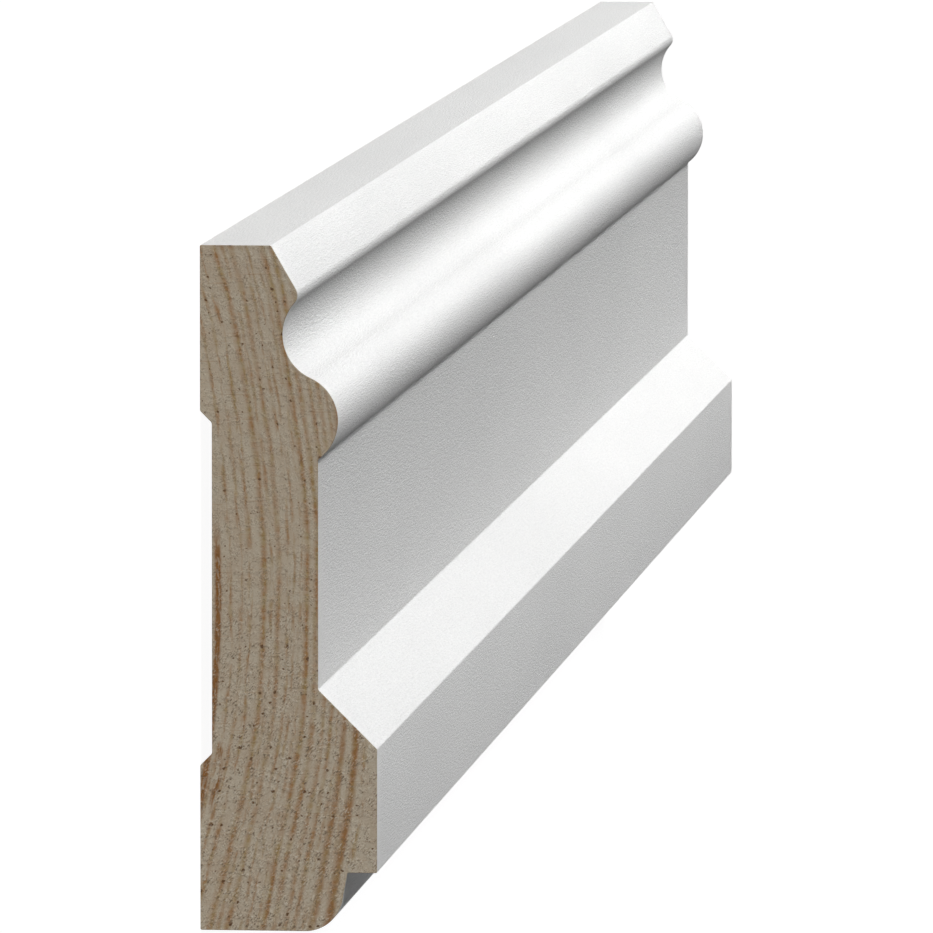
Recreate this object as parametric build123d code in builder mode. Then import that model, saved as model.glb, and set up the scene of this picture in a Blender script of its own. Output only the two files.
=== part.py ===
from build123d import *
from math import cos, radians, sin, sqrt, tan
import os

# Door casing moulding, one length of milled pine that lies on its back with its face up.
# X runs along the length, Y across the width towards the thin edge, Z through the thickness.
# Lengths are in millimetres and angles in degrees.

casing_length = 609.6
casing_width = 92.075
panel_thickness = 15.875  # the flat field of the face

# Thin edge, beside the door opening, and the chamfer that rises from it
thin_edge_thickness = 9.525
chamfer_angle = 30.0  # against the plane of the back
crest_radius = 1.5875  # between the chamfer and the cove

# Cove and bead, which flow into each other as one ogee
cove_inset = 11.90625  # from the thin edge to the axis of the cove
cove_depth = 4.7625  # below the panel
cove_radius = 6.35
bead_height = 2.675  # above the panel
bead_radius = 6.35

# Thick edge: a bevel up from the panel, the lip, and the rounded nose set back under it
lip_height = 7.9375  # above the panel
bevel_angle = 45.0
lip_face_width = 16.66875
lip_overhang = 3.96875
nose_width = 7.9375  # from the lip's underside to the thick edge
nose_draft = 10.8
nose_radius = 5.1

# Hollowed back, between the two flat lands that touch the jamb and the wall
land_width = 22.225
relief_depth = 1.5875
relief_flank_angle = 45.0

thin_edge = casing_width / 2
thick_edge = -casing_width / 2

# The two rounds of the ogee touch, so the distance between their axes is the sum of their radii
cove_floor = panel_thickness - cove_depth
bead_crown = panel_thickness + bead_height
cove_axis = Vector(thin_edge - cove_inset, cove_floor + cove_radius)
axis_distance = cove_radius + bead_radius
axis_drop = axis_distance - cove_depth - bead_height
bead_axis = cove_axis - Vector(sqrt(axis_distance**2 - axis_drop**2), axis_drop)
ogee_turn = cove_axis + (bead_axis - cove_axis) * (cove_radius / axis_distance)
bead_half_width = sqrt(bead_radius**2 - (bead_radius - bead_height) ** 2)
bead_foot = Vector(bead_axis.X - bead_half_width, panel_thickness)

# Corners of the thick edge, from the panel round to the back
lip_face = panel_thickness + lip_height
lip_underside = thick_edge + nose_width
bevel_top = lip_underside + lip_face_width
bevel_foot = bevel_top + lip_height / tan(radians(bevel_angle))
lip_root = lip_face - lip_overhang
nose_corner = Vector(thick_edge, lip_root - nose_width * tan(radians(nose_draft)))

# Corners of the hollow in the back
relief_flank = relief_depth / tan(radians(relief_flank_angle))
thin_land_end = thin_edge - land_width
thick_land_end = thick_edge + land_width

with BuildPart() as door_casing:
    with BuildSketch(Plane.YZ) as section:
        with BuildLine():
            cove_round = CenterArc(cove_axis, cove_radius, 0, 360, mode=Mode.PRIVATE)
            thin_side = Line((thin_edge, 0), (thin_edge, thin_edge_thickness))
            chamfer_rise = Vector(-cos(radians(chamfer_angle)), sin(radians(chamfer_angle)))
            chamfer_face = IntersectingLine(thin_side @ 1, chamfer_rise, cove_round)
            crest = chamfer_face @ 1
            ThreePointArc(crest, (cove_axis.X, cove_floor), ogee_turn)
            ThreePointArc(ogee_turn, (bead_axis.X, bead_crown), bead_foot)
            Polyline(
                bead_foot,
                (bevel_foot, panel_thickness),
                (bevel_top, lip_face),
                (lip_underside, lip_face),
                (lip_underside, lip_root),
                nose_corner,
                (thick_edge, 0),
                (thick_land_end, 0),
                (thick_land_end + relief_flank, relief_depth),
                (thin_land_end - relief_flank, relief_depth),
                (thin_land_end, 0),
                (thin_edge, 0),
            )
        make_face()
        fillet(section.vertices().sort_by_distance(crest)[0], crest_radius)
        fillet(section.vertices().sort_by_distance(nose_corner)[0], nose_radius)
    extrude(amount=casing_length / 2, both=True)
door_casing.part.label = "door_casing"

os.makedirs("parts", exist_ok=True)
export_step(door_casing.part, "parts/door_casing.step")
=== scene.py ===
import math
import bmesh
import bpy
from mathutils import Matrix, Vector


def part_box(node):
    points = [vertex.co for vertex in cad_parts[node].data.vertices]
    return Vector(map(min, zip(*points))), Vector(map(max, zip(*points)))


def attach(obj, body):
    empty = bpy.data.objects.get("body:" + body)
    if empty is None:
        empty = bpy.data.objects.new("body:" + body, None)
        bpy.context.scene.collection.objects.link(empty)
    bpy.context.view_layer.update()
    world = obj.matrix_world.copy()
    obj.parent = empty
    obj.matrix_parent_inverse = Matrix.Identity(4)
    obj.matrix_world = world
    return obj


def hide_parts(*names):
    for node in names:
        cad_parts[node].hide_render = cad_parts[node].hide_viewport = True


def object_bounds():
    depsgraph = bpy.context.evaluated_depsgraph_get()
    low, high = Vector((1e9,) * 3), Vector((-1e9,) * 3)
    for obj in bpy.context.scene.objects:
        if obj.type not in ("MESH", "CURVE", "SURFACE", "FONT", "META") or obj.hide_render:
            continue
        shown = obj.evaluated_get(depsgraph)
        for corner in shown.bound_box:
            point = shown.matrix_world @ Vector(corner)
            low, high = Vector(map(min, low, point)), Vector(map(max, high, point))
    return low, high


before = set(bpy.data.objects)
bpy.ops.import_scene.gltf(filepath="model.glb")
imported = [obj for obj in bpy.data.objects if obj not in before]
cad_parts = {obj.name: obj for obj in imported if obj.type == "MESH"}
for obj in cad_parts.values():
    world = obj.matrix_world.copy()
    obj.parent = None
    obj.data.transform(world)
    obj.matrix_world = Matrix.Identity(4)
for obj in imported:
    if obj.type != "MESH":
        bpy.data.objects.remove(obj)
cadLow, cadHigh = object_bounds()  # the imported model's box


# Small helpers for node trees

noiseMiddle = 0.5  # noise runs from 0 to 1 about this


def addNode(tree, kind, inputs=None, **settings):
    made = tree.nodes.new(kind)
    for key, value in settings.items():
        setattr(made, key, value)
    for key, value in (inputs or {}).items():
        if isinstance(value, bpy.types.NodeSocket):
            tree.links.new(value, made.inputs[key])
        else:
            made.inputs[key].default_value = value
    return made


def mathOut(tree, operation, *values, clamp=False):
    made = addNode(tree, "ShaderNodeMath", dict(enumerate(values)), operation=operation, use_clamp=clamp)
    return made.outputs[0]


def product(tree, *values):
    out = values[0]
    for value in values[1:]:
        out = mathOut(tree, "MULTIPLY", out, value)
    return out


def atLeast(tree, value, least):
    # 0 to 1 squeezed into least to 1
    return mathOut(tree, "MULTIPLY_ADD", value, 1 - least, least)


def softStep(tree, value, low, high):
    made = addNode(tree, "ShaderNodeMapRange",
                   {"Value": value, "From Min": low, "From Max": high},
                   interpolation_type="SMOOTHSTEP")
    return made.outputs[0]


def stretchedNoise(tree, coords, cell, detail=2.0, rough=0.5, turn=0.0):
    # noise with lumps of about cell = (x, y, z) metres, turned in degrees about the length
    mapped = addNode(tree, "ShaderNodeMapping",
                     {"Vector": coords, "Scale": cell, "Rotation": (math.radians(turn), 0, 0)},
                     vector_type="TEXTURE")
    made = addNode(tree, "ShaderNodeTexNoise",
                   {"Vector": mapped.outputs[0], "Scale": 1.0, "Detail": detail, "Roughness": rough})
    return made.outputs[0]


def patchy(tree, coords, field):
    # noise cut to patches: none at the first value of its span, full at the second
    noise = stretchedNoise(tree, coords, field["cell"], field.get("detail", 2.0), field.get("rough", 0.5))
    return softStep(tree, noise, *field["span"])


def band(tree, value, middle, half, core=0.3):
    # a line about a middle value, fading out from that share of its half width
    off = mathOut(tree, "ABSOLUTE", mathOut(tree, "SUBTRACT", value, middle))
    return softStep(tree, off, half, core * half)


def between(tree, value, run, fade):
    # 1 from run[0] down to run[1], fading out beyond both
    first = softStep(tree, value, run[0] + fade, run[0])
    return product(tree, first, softStep(tree, value, run[1] - fade, run[1]))


def mixColour(tree, share, first, second):
    made = addNode(tree, "ShaderNodeMix", {0: share, 6: first, 7: second}, data_type="RGBA")
    return made.outputs[2]


def newMaterial(name):
    material = bpy.data.materials.new(name)
    material.use_nodes = True
    material.node_tree.nodes.clear()
    return material, material.node_tree


def toOutput(tree, shader, kind="ShaderNodeOutputMaterial"):
    addNode(tree, kind, {"Surface": shader})


# White primer over the face and the edges

primer = {
    "light": (0.91, 0.91, 0.90, 1),
    "dark": (0.82, 0.823, 0.818, 1),
    "speckle": (0.0022, 0.0002, 0.0002),  # raised fibres along the length, under the coat
    "speckleDetail": 3.0,
    "speckleRough": 0.6,
    "cloud": (0.12, 0.03, 0.03),          # slow changes of tone
    "cloudShare": 0.3,
    "toneSpan": (0.3, 0.7),
    "roughness": (0.67, 0.73),            # of the light and of the dark
    "gloss": 0.05,
    "relief": 0.0001,
}


def makePrimer():
    material, tree = newMaterial("whitePrimer")
    coords = addNode(tree, "ShaderNodeTexCoord").outputs["Object"]
    speckle = stretchedNoise(tree, coords, primer["speckle"],
                             primer["speckleDetail"], primer["speckleRough"])
    cloud = stretchedNoise(tree, coords, primer["cloud"])
    tone = mathOut(tree, "MULTIPLY_ADD", cloud, primer["cloudShare"],
                   product(tree, speckle, 1 - primer["cloudShare"]))
    coat = softStep(tree, tone, *primer["toneSpan"])
    smooth, rough = primer["roughness"]
    bump = addNode(tree, "ShaderNodeBump", {"Height": speckle, "Distance": primer["relief"]})
    shader = addNode(tree, "ShaderNodeBsdfPrincipled",
                     {"Base Color": mixColour(tree, coat, primer["dark"], primer["light"]),
                      "Roughness": mathOut(tree, "MULTIPLY_ADD", coat, smooth - rough, rough),
                      "Specular IOR Level": primer["gloss"], "Normal": bump.outputs[0]})
    toOutput(tree, shader.outputs[0])
    print("primer:", len(tree.nodes), "nodes")
    return material


# Bare pine, one block of growth rings that every sawn or planed face cuts

pine = {
    "pith": (0, -0.0008, -0.1628),      # the tree's heart, behind the back
    "climb": 0.012,                     # how the rings rise along the length
    "span": 0.024,                      # the rings repeat after this much wood
    "wave": 0.0016,                     # slow bends of the rings
    "waveCell": (0.25, 0.022, 0.012),
    "jag": 0.0003,                      # their ragged edges
    "jagCell": (0.03, 0.0009, 0.0006),
    "wedge": 0.14,                      # the rings lie further apart towards the thick edge
    "wedgeFrom": 0.0166,
    "wedgeRun": (-0.012, -0.046),
    "mmPerMetre": 1000,
    # rings as place from the back, strength, width, in mm
    "rings": [
        (8.55, 0.95, 1.15), (10.55, 0.8, 1.0), (14.55, 1.0, 1.2), (15.75, 0.95, 1.1), (17.2, 0.7, 0.95),
        (18.2, 0.85, 0.95),
    ],
    "boldRings": [(20.15, 0.8, 1.1), (21.9, 1.0, 1.2)],
    "faintRings": [
        (4.0, 0.75, 0.8), (5.4, 0.7, 0.75), (6.65, 0.85, 0.9), (9.5, 0.65, 0.8), (11.9, 0.75, 0.7),
        (12.6, 0.7, 0.65), (13.6, 0.55, 0.7), (19.2, 0.5, 0.75), (21.1, 0.35, 0.6), (23.2, 0.85, 0.9),
    ],
    "ringRise": 0.7,                    # of its width, slow to darken
    "ringFall": 0.5,                    # and quick to end
    # where a ring is strong, a faint one shows, its colour turns to olive, the early wood is warm,
    # and a ring has darker spots
    "strong": {"cell": (0.06, 0.007, 0.0011), "span": (0.35, 0.6), "detail": 3.0, "rough": 0.6},
    "faint": {"cell": (0.05, 0.006, 0.0008), "span": (0.42, 0.57), "detail": 3.0, "rough": 0.6},
    "olive": {"cell": (0.05, 0.0028, 0.0012), "span": (0.45, 0.6)},
    "warm": {"cell": (0.05, 0.004, 0.002), "span": (0.35, 0.65)},
    "beads": {"cell": (0.04, 0.0006, 0.0012), "span": (0.4, 0.6)},
    "strongLeast": 0.5,
    "beadLeast": 0.72,
    "beadTint": 0.22,                   # of the streak's colour in those spots
    "boldLeast": 0.7,
    "boldTint": 0.45,                   # of the streak's colour in the bold rings
    "rays": {"cell": (0.03, 0.00016, 0.005), "span": (0.62, 0.75)},  # thin lines outwards
    "rayShare": 0.35,
    "crossShare": 0.7,                  # how dark they are where they cross a ring
    "streakPlace": 0.00245,             # resin beside the back
    "streakWidth": 0.00065,
    "strands": {"cell": (0.06, 0.0014, 0.0003), "span": (0.32, 0.52)},  # which it is made of
    "strandLeast": 0.4,
    "streakRun": (0.004, -0.0275),      # where it lies across the width
    "streakFade": 0.006,
    "stainPlace": 0.0041,               # a thinner one beside it
    "stainWidth": 0.0007,
    "stainRun": (-0.022, -0.028),
    "stainFade": 0.003,
    "thickRun": (0.01, -0.02),          # from the thin half of the section to the thick one
    "canalCell": 0.0015,                # one resin canal in each, or none
    "canalRadius": 0.00014,             # twice that in a ring
    "canalSwell": 0.4,                  # wider towards the thick edge
    "canalSpan": (0.35, 1.1),           # many small ones, few large
    "canalEdge": (0.02, -0.05),
    "canalRag": 0.0004,
    "pore": (0.004, 0.00022, 0.00022),
    "fineDetail": 1.0,
    # painted shade in the pores
    "poreShadeSpan": (0.45, 0.3),
    "scratch": (0.004, 0.0005, 0.0002),  # left by the saw, aslant
    "scratchTurn": 45,
    "scratchLeast": 0.4,                # shallow in the thin half
    # painted shade in the saw's scratches
    "scratchShadeSpan": (0.44, 0.32),
    "scratchShadeShare": 0.85,
    # painted highlight on the scratches' ridges
    "highlightSpan": (0.55, 0.7),
    "highlightShare": 0.55,
    "clusters": {"cell": (0.01, 0.0008, 0.0008), "span": (0.42, 0.62)},  # of pores and scratches
    "clusterLeast": 0.25,
    "gloss": 0.2,
}
endGrain = {
    "name": "sawnPine",
    "early": (0.42, 0.363, 0.28, 1),
    "warm": (0.397, 0.33, 0.247, 1),
    "late": (0.27, 0.136, 0.047, 1),
    "olive": (0.285, 0.20, 0.08, 1),
    "streak": (0.212, 0.092, 0.024, 1),
    "canal": (0.106, 0.053, 0.024, 1),
    # painted shade in the pores and the saw's scratches
    "paintedRecessShade": (0.152, 0.114, 0.076, 1),
    # painted highlight on the saw scratches' ridges
    "pale": (0.53, 0.478, 0.395, 1),
    # strength of the painted shade in the pores, and of the saw's scratches with their painted shade,
    # painted highlight and bump
    "pores": 0.65,
    "scratches": 1.15,
    "relief": 0.00006,
    "roughness": 0.88,
    "lateSheen": 0.12,  # how much smoother the rings are
}
planedBack = {
    "name": "planedPine",
    "early": (0.62, 0.48, 0.31, 1),
    "warm": (0.60, 0.44, 0.27, 1),
    "late": (0.47, 0.28, 0.13, 1),
    "olive": (0.50, 0.34, 0.17, 1),
    "streak": (0.50, 0.33, 0.17, 1),
    "canal": (0.33, 0.19, 0.09, 1),
    # painted shade in the pores
    "paintedRecessShade": (0.40, 0.27, 0.15, 1),
    # painted highlight on saw-scratch ridges, which this face doesn't have
    "pale": (0.66, 0.53, 0.36, 1),
    # strength of the painted shade in the pores; no saw scratches on this face
    "pores": 0.25,
    "scratches": 0.0,
    "relief": 0.000015,
    "roughness": 0.62,
    "lateSheen": 0.15,
}


def ringRamp(tree, place, rings):
    ramp = addNode(tree, "ShaderNodeValToRGB", {"Fac": place})
    span = pine["span"] * pine["mmPerMetre"]
    ramp.color_ramp.interpolation = "EASE"
    stops = ramp.color_ramp.elements
    stops[0].position, stops[1].position = 0, 1
    stops[0].color = stops[1].color = (0, 0, 0, 1)
    for middle, strength, width in rings:
        for offset, level in ((-pine["ringRise"], 0), (0, strength), (pine["ringFall"], 0)):
            stop = stops.new((middle + offset * width) / span)
            stop.color = (level, level, level, 1)
    return ramp.outputs[0]


def ringDepth(tree, coords, along, across, nearEnd):
    # wood from the back outwards along a radius, straight and then with its bends and ragged edges
    fromPith = addNode(tree, "ShaderNodeVectorMath", {0: coords, 1: pine["pith"]}, operation="SUBTRACT")
    flat = addNode(tree, "ShaderNodeVectorMath", {0: fromPith.outputs[0], 1: (0, 1, 1)},
                   operation="MULTIPLY")
    length = addNode(tree, "ShaderNodeVectorMath", {0: flat.outputs[0]}, operation="LENGTH")
    radius = mathOut(tree, "ADD", length.outputs["Value"], pine["pith"][2])
    climb = mathOut(tree, "MULTIPLY", mathOut(tree, "SUBTRACT", along, nearEnd), pine["climb"])
    straight = mathOut(tree, "ADD", radius, climb)
    wedge = mathOut(tree, "MULTIPLY_ADD", softStep(tree, across, *pine["wedgeRun"]), -pine["wedge"], 1)
    fromMiddle = mathOut(tree, "SUBTRACT", straight, pine["wedgeFrom"])
    bent = mathOut(tree, "MULTIPLY_ADD", fromMiddle, wedge, pine["wedgeFrom"])
    for size, cell in ((pine["wave"], pine["waveCell"]), (pine["jag"], pine["jagCell"])):
        bend = mathOut(tree, "SUBTRACT", stretchedNoise(tree, coords, cell), noiseMiddle)
        bent = mathOut(tree, "MULTIPLY_ADD", bend, size, bent)
    return straight, bent


def resinCanals(tree, coords, across, depth, late, thick):
    rag, cell = pine["canalRag"], pine["canalCell"]
    ragged = addNode(tree, "ShaderNodeTexNoise",
                     {"Vector": coords, "Scale": 1 / rag, "Detail": pine["fineDetail"]})
    ends = addNode(tree, "ShaderNodeCombineXYZ", {0: across, 1: depth}).outputs[0]
    ends = addNode(tree, "ShaderNodeVectorMath",
                   {0: ragged.outputs["Color"], 1: (rag, rag, 0), 2: ends},
                   operation="MULTIPLY_ADD").outputs[0]
    canals = addNode(tree, "ShaderNodeTexVoronoi", {"Vector": ends, "Scale": 1 / cell},
                     voronoi_dimensions="2D")
    chance = addNode(tree, "ShaderNodeSeparateColor", {0: canals.outputs["Color"]}).outputs[0]
    size = product(tree, softStep(tree, chance, *pine["canalSpan"]), pine["canalRadius"] / cell,
                   mathOut(tree, "ADD", late, 1),
                   mathOut(tree, "MULTIPLY_ADD", thick, pine["canalSwell"], 1))
    return softStep(tree, mathOut(tree, "SUBTRACT", canals.outputs["Distance"], size), *pine["canalEdge"])


def makePine(finish, nearEnd):
    material, tree = newMaterial(finish["name"])
    coords = addNode(tree, "ShaderNodeTexCoord").outputs["Object"]
    along, across, _ = addNode(tree, "ShaderNodeSeparateXYZ", {0: coords}).outputs
    straight, depth = ringDepth(tree, coords, along, across, nearEnd)
    grain = addNode(tree, "ShaderNodeCombineXYZ", {0: along, 1: across, 2: depth}).outputs[0]

    # rings, which come and go along their run
    place = mathOut(tree, "FRACT", mathOut(tree, "DIVIDE", depth, pine["span"]))
    strong = atLeast(tree, patchy(tree, grain, pine["strong"]), pine["strongLeast"])
    faint = patchy(tree, grain, pine["faint"])
    late = product(tree, ringRamp(tree, place, pine["rings"]), strong)
    faintRings = ringRamp(tree, place, pine["faintRings"])
    late = mathOut(tree, "MULTIPLY_ADD", faintRings, faint, late, clamp=True)
    boldRings = ringRamp(tree, place, pine["boldRings"])
    bold = product(tree, boldRings, atLeast(tree, strong, pine["boldLeast"]))
    late = mathOut(tree, "ADD", late, bold, clamp=True)
    beads = patchy(tree, grain, pine["beads"])
    late = product(tree, late, atLeast(tree, beads, pine["beadLeast"]))

    # early wood, the rays across it, then the rings
    colour = mixColour(tree, patchy(tree, grain, pine["warm"]), finish["early"], finish["warm"])
    rays = patchy(tree, grain, pine["rays"])
    colour = mixColour(tree, product(tree, rays, pine["rayShare"]), colour, finish["late"])
    ringColour = mixColour(tree, patchy(tree, grain, pine["olive"]), finish["late"], finish["olive"])
    colour = mixColour(tree, late, colour, ringColour)
    colour = mixColour(tree, product(tree, bold, pine["boldTint"]), colour, finish["streak"])
    colour = mixColour(tree, product(tree, late, beads, pine["beadTint"]), colour, finish["streak"])

    # the resin streak along the rings, and a thin stain beside it
    streak = product(tree, band(tree, straight, pine["streakPlace"], pine["streakWidth"]),
                     between(tree, across, pine["streakRun"], pine["streakFade"]),
                     atLeast(tree, patchy(tree, grain, pine["strands"]), pine["strandLeast"]))
    stain = product(tree, band(tree, straight, pine["stainPlace"], pine["stainWidth"]),
                    between(tree, across, pine["stainRun"], pine["stainFade"]), faint)
    resin = mathOut(tree, "MAXIMUM", streak, stain)
    colour = mixColour(tree, resin, colour, finish["streak"])
    crossed = product(tree, rays, mathOut(tree, "MAXIMUM", late, resin), pine["crossShare"])
    colour = mixColour(tree, crossed, colour, finish["canal"])

    thick = softStep(tree, across, *pine["thickRun"])
    canals = resinCanals(tree, coords, across, depth, late, thick)
    colour = mixColour(tree, canals, colour, finish["canal"])

    # pores everywhere and the saw's scratches, deepest towards the thick edge, get painted shade, and the
    # scratches' ridges a painted highlight
    pores = stretchedNoise(tree, coords, pine["pore"], pine["fineDetail"])
    scratches = stretchedNoise(tree, coords, pine["scratch"], pine["fineDetail"], turn=pine["scratchTurn"])
    clusters = atLeast(tree, patchy(tree, coords, pine["clusters"]), pine["clusterLeast"])
    scored = product(tree, atLeast(tree, thick, pine["scratchLeast"]), clusters, finish["scratches"])
    poreShade = product(tree, softStep(tree, pores, *pine["poreShadeSpan"]), clusters, finish["pores"])
    scratchShade = product(tree, softStep(tree, scratches, *pine["scratchShadeSpan"]), scored, pine["scratchShadeShare"])
    ridgeHighlight = product(tree, softStep(tree, scratches, *pine["highlightSpan"]), scored, pine["highlightShare"])
    # painted shade in the pores and scratches
    colour = mixColour(tree, mathOut(tree, "MAXIMUM", poreShade, scratchShade), colour, finish["paintedRecessShade"])
    # painted highlight on the scratches' ridges
    colour = mixColour(tree, ridgeHighlight, colour, finish["pale"])

    height = product(tree, mathOut(tree, "MULTIPLY_ADD", scratches, finish["scratches"], pores), clusters)
    bump = addNode(tree, "ShaderNodeBump", {"Height": height, "Distance": finish["relief"]})
    rough = mathOut(tree, "MULTIPLY_ADD", late, -finish["lateSheen"], finish["roughness"])
    shader = addNode(tree, "ShaderNodeBsdfPrincipled",
                     {"Base Color": colour, "Roughness": rough,
                      "Specular IOR Level": pine["gloss"], "Normal": bump.outputs[0]})
    toOutput(tree, shader.outputs[0])
    print("pine:", finish["name"], len(tree.nodes), "nodes")
    return material


# The moulding: its section drawn on the near end, then pulled along the length

casing = {
    "node": "door_casing",
    "panel": 0.015875,        # the flat field, over the back
    "thinEdge": 0.009525,
    "chamferTurn": 30.0,
    "crestRadius": 0.0015875,
    "coveInset": 0.01190625,  # thin edge to the axis of the cove
    "coveDepth": 0.0047625,   # below the panel
    "coveRadius": 0.00635,
    "beadHeight": 0.002675,   # above the panel
    "beadRadius": 0.00635,
    "bevelTurn": 45.0,
    "lipFace": 0.01666875,
    "lipOverhang": 0.00396875,
    "noseWidth": 0.0079375,
    "noseDraft": 10.8,
    "noseRadius": 0.0051,
    "land": 0.022225,         # flat strips of the back
    "reliefDepth": 0.0015875,
    "arcStep": 3.0,           # degrees
    "arrisEase": 0.00018,
    "arrisSteps": 3,
    "endEase": 0.00008,
    "endSteps": 1,
    "endFacing": 0.99,        # along the length, at least
    "backFacing": -0.5,       # up, at most
    "sharpTurn": 15.0,        # corners turn by more than this, arcs by less
}


def addArc(bm, nearEnd, start, centre, end):
    first, last = start - centre, end - centre
    sweep = math.atan2(first.x * last.y - first.y * last.x, first.dot(last))
    steps = math.ceil(abs(math.degrees(sweep)) / casing["arcStep"])
    count = len(bm.verts)
    corner = bm.verts.new((nearEnd, *start))
    bmesh.ops.spin(bm, geom=[corner], cent=(nearEnd, *centre), axis=(1, 0, 0), angle=sweep,
                   steps=steps, use_merge=False)
    bm.verts.ensure_lookup_table()
    return bm.verts[count:]


def addCorners(bm, nearEnd, *points):
    return [bm.verts.new((nearEnd, *point)) for point in points]


def drawSection(bm, low, high):
    thinSide, thickSide, lipTop = high.y, low.y, high.z
    panel, cove, bead = casing["panel"], casing["coveRadius"], casing["beadRadius"]

    # the cove and the bead touch, so their axes lie the two radii apart
    coveAxis = Vector((thinSide - casing["coveInset"], panel - casing["coveDepth"] + cove))
    drop = cove + bead - casing["coveDepth"] - casing["beadHeight"]
    beadAxis = coveAxis - Vector((math.sqrt((cove + bead) ** 2 - drop ** 2), drop))
    ogeeTurn = coveAxis.lerp(beadAxis, cove / (cove + bead))
    beadHalf = math.sqrt(bead ** 2 - (bead - casing["beadHeight"]) ** 2)
    beadFoot = Vector((beadAxis.x - beadHalf, panel))

    # the crest lies inside the chamfer and outside the cove
    crest, turn = casing["crestRadius"], math.radians(casing["chamferTurn"])
    thinTop = Vector((thinSide, casing["thinEdge"]))
    rise = Vector((-math.cos(turn), math.sin(turn)))
    inward = Vector((-math.sin(turn), -math.cos(turn)))
    reach = thinTop + inward * crest - coveAxis
    along = reach.dot(rise)
    run = -along - math.sqrt(along ** 2 - reach.length_squared + (cove + crest) ** 2)
    chamferEnd = thinTop + rise * run
    crestAxis = chamferEnd + inward * crest
    coveStart = coveAxis.lerp(crestAxis, cove / (cove + crest))

    # the nose under the lip leans in by its draft and rounds off to the thick edge
    lipUnder = thickSide + casing["noseWidth"]
    bevelTop = lipUnder + casing["lipFace"]
    bevelFoot = bevelTop + (lipTop - panel) / math.tan(math.radians(casing["bevelTurn"]))
    lipRoot = Vector((lipUnder, lipTop - casing["lipOverhang"]))
    draft, nose = math.radians(casing["noseDraft"]), casing["noseRadius"]
    noseSide = Vector((-math.cos(draft), -math.sin(draft)))
    noseCorner = lipRoot + noseSide * (casing["noseWidth"] / math.cos(draft))
    noseCut = nose * math.tan((math.pi / 2 - draft) / 2)
    noseAxis = noseCorner + Vector((nose, -noseCut))

    landIn, relief = casing["land"], casing["reliefDepth"]
    corners = addCorners(bm, low.x, (thinSide, 0), thinTop)
    corners += addArc(bm, low.x, chamferEnd, crestAxis, coveStart)
    corners += addArc(bm, low.x, coveStart, coveAxis, ogeeTurn)[1:]
    corners += addArc(bm, low.x, ogeeTurn, beadAxis, beadFoot)[1:]
    corners += addCorners(bm, low.x, (bevelFoot, panel), (bevelTop, lipTop), (lipUnder, lipTop), lipRoot)
    noseStart = noseCorner - noseSide * noseCut
    corners += addArc(bm, low.x, noseStart, noseAxis, noseCorner - Vector((0, noseCut)))
    corners += addCorners(bm, low.x, (thickSide, 0), (thickSide + landIn, 0),
                          (thickSide + landIn + relief, relief),
                          (thinSide - landIn - relief, relief), (thinSide - landIn, 0))
    bmesh.ops.delete(bm, geom=[v for v in bm.verts if v not in set(corners)], context="VERTS")
    return bm.faces.new(corners)


def isEnd(face):
    return abs(face.normal.x) > casing["endFacing"]


def isBack(face):
    return face.normal.z < casing["backFacing"]


def makeCasing(materials):
    low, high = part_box(casing["node"])
    length = high.x - low.x
    bm = bmesh.new()
    section = drawSection(bm, low, high)
    grown = bmesh.ops.extrude_face_region(bm, geom=[section])["geom"]
    farEnd = [item for item in grown if isinstance(item, bmesh.types.BMVert)]
    bmesh.ops.translate(bm, verts=farEnd, vec=(length, 0, 0))
    bmesh.ops.recalc_face_normals(bm, faces=bm.faces)

    sharp = math.radians(casing["sharpTurn"])
    arrises = [edge for edge in bm.edges
               if edge.calc_length() > length / 2 and edge.calc_face_angle() > sharp]
    bmesh.ops.bevel(bm, geom=arrises, offset=casing["arrisEase"], offset_type="OFFSET",
                    segments=casing["arrisSteps"], profile=0.5, affect="EDGES", material=-1)
    rims = [edge for edge in bm.edges if sum(isEnd(face) for face in edge.link_faces) == 1]
    eased = bmesh.ops.bevel(bm, geom=rims, offset=casing["endEase"], offset_type="OFFSET",
                            segments=casing["endSteps"], profile=0.5, affect="EDGES",
                            material=-1)["faces"]
    bmesh.ops.recalc_face_normals(bm, faces=bm.faces)

    for face in bm.faces:
        face.smooth = True
        if isEnd(face) or face in eased:
            face.material_index = 1
        elif isBack(face):
            face.material_index = 2
    mesh = bpy.data.meshes.new("doorCasing")
    bm.to_mesh(mesh)
    openEdges = sum(not edge.is_manifold for edge in bm.edges)
    bm.free()
    for material in materials:
        mesh.materials.append(material)
    mesh.set_sharp_from_angle(angle=sharp)
    piece = bpy.data.objects.new("doorCasing", mesh)
    bpy.context.scene.collection.objects.link(piece)
    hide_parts(casing["node"])
    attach(piece, "root")
    print("casing:", len(mesh.polygons), "faces,", openEdges, "open edges")


# Floor and background, white to the camera, plain pale matt to everything else

studio = {
    "floorSize": 6.0,
    "floorColour": (0.8, 0.8, 0.8, 1),
    "shadowColour": (0.2, 0.2, 0.2, 1),  # how much of the shadow the camera sees
    "floorGlow": 0.94,
    "backdrop": (1, 1, 1, 1),
}


def seenDirectly(tree):
    path = addNode(tree, "ShaderNodeLightPath")
    seen = mathOut(tree, "ADD", path.outputs["Is Camera Ray"], path.outputs["Is Glossy Ray"], clamp=True)
    return mathOut(tree, "ADD", seen, path.outputs["Is Transmission Ray"], clamp=True)


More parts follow.
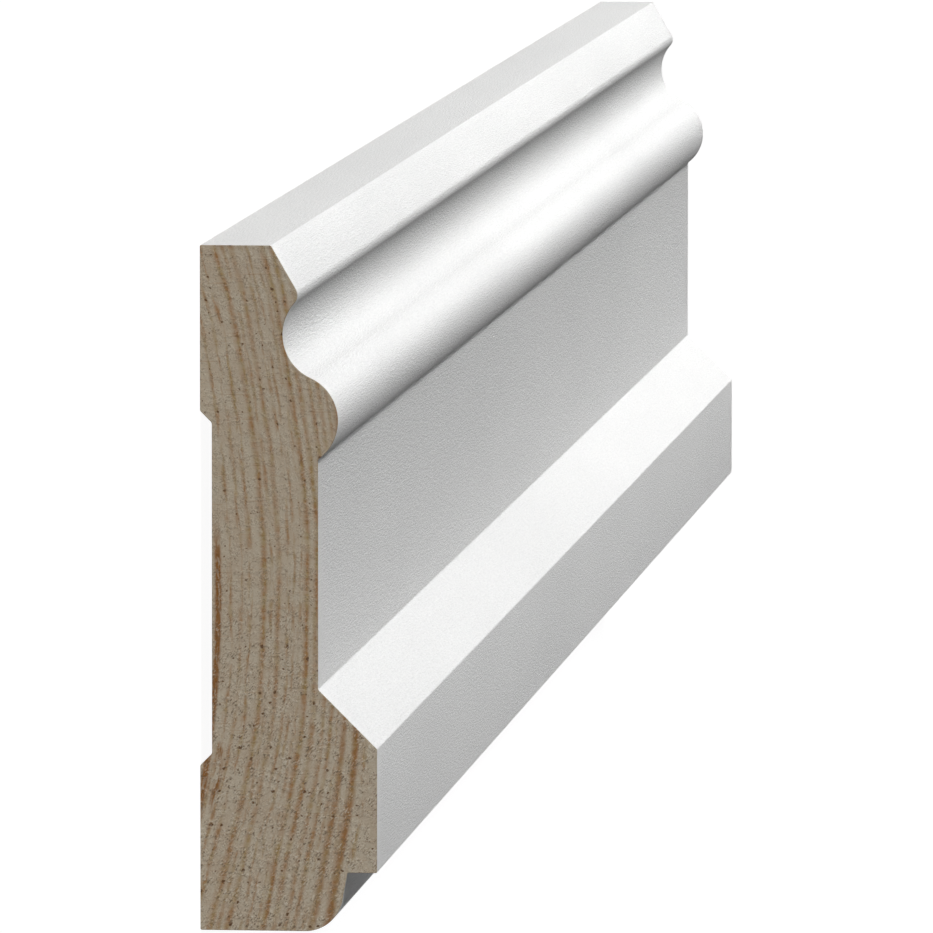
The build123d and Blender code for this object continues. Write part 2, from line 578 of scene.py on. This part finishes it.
def makeFloor(level):
    material, tree = newMaterial("paleFloor")
    plain = addNode(tree, "ShaderNodeBsdfDiffuse", {"Color": studio["floorColour"]})
    shaded = addNode(tree, "ShaderNodeBsdfDiffuse", {"Color": studio["shadowColour"]})
    glow = addNode(tree, "ShaderNodeEmission", {"Strength": studio["floorGlow"]})
    white = addNode(tree, "ShaderNodeAddShader", {0: shaded.outputs[0], 1: glow.outputs[0]})
    both = addNode(tree, "ShaderNodeMixShader",
                   {0: seenDirectly(tree), 1: plain.outputs[0], 2: white.outputs[0]})
    toOutput(tree, both.outputs[0])
    bm = bmesh.new()
    bmesh.ops.create_grid(bm, x_segments=1, y_segments=1, size=studio["floorSize"])
    bmesh.ops.translate(bm, verts=bm.verts, vec=(0, 0, level))
    mesh = bpy.data.meshes.new("floor")
    bm.to_mesh(mesh)
    bm.free()
    mesh.materials.append(material)
    floor = bpy.data.objects.new("floor", mesh)
    bpy.context.scene.collection.objects.link(floor)
    print("floor: level", round(level, 4))


def makeWorld():
    world = bpy.data.worlds.new("studio")
    bpy.context.scene.world = world
    world.use_nodes = True
    tree = world.node_tree
    tree.nodes.clear()
    white = addNode(tree, "ShaderNodeBackground",
                    {"Color": studio["backdrop"], "Strength": seenDirectly(tree)})
    toOutput(tree, white.outputs[0], "ShaderNodeOutputWorld")
    print("world: white backdrop")


# Three soft suns and a strip on the floor

suns = {
    "spread": 12.0,
    "keyLight": {"from": (-0.3, 0.762, 0.574), "strength": 1.85},
    "backLight": {"from": (0.993, 0.092, 0.077), "strength": 2.35},  # low, for the sheen of the slopes
    "frontLight": {"from": (-1, 0, 0), "strength": 2.45},            # straight onto the near end
}
stripLight = {  # as long as the part and low, for the thick edge but not the notch over it
    "gap": 0.044,  # from the thick edge
    "height": 0.004,
    "size": (0.6, 0.006),
    "turn": 90.0,  # degrees, from facing down to facing the thick edge
    "power": 0.06,
}


def makeSun(name):
    data = bpy.data.lights.new(name, "SUN")
    data.energy = suns[name]["strength"]
    data.angle = math.radians(suns["spread"])
    lamp = bpy.data.objects.new(name, data)
    lamp.rotation_euler = Vector(suns[name]["from"]).to_track_quat("Z", "Y").to_euler()
    bpy.context.scene.collection.objects.link(lamp)
    print("lamp:", name, data.energy)


def makeStrip(thickEdge, level):
    data = bpy.data.lights.new("stripLight", "AREA")
    data.shape = "RECTANGLE"
    data.size, data.size_y = stripLight["size"]
    data.energy = stripLight["power"]
    lamp = bpy.data.objects.new("stripLight", data)
    lamp.location = (0, thickEdge - stripLight["gap"], level + stripLight["height"])
    lamp.rotation_euler = (math.radians(stripLight["turn"]), 0, 0)
    lamp.visible_camera = False
    bpy.context.scene.collection.objects.link(lamp)
    print("lamp: stripLight", data.energy)


# Camera, rolled a quarter turn so that the thin edge is up in the picture

view = {
    "place": (-2.08167, 0.17457, 0.20968),
    "aim": (-0.3048, 0.016685, 0.035807),
    "roll": -90.5366,
    "lens": 518.25,
    "sensor": 36.0,
}


def makeCamera():
    data = bpy.data.cameras.new("camera")
    data.lens = view["lens"]
    data.sensor_width = view["sensor"]
    camera = bpy.data.objects.new("camera", data)
    sight = Vector(view["aim"]) - Vector(view["place"])
    facing = sight.to_track_quat("-Z", "Y").to_matrix().to_4x4()
    turn = Matrix.Rotation(math.radians(view["roll"]), 4, sight)
    camera.matrix_world = Matrix.Translation(view["place"]) @ turn @ facing
    bpy.context.scene.collection.objects.link(camera)
    bpy.context.scene.camera = camera
    print("camera: lens", view["lens"])


makeCasing([makePrimer(), makePine(endGrain, cadLow.x), makePine(planedBack, cadLow.x)])
makeFloor(cadLow.z)
makeWorld()
for name in ("keyLight", "backLight", "frontLight"):
    makeSun(name)
makeStrip(cadLow.y, cadLow.z)
makeCamera()
bpy.context.scene.view_settings.view_transform = "Standard"
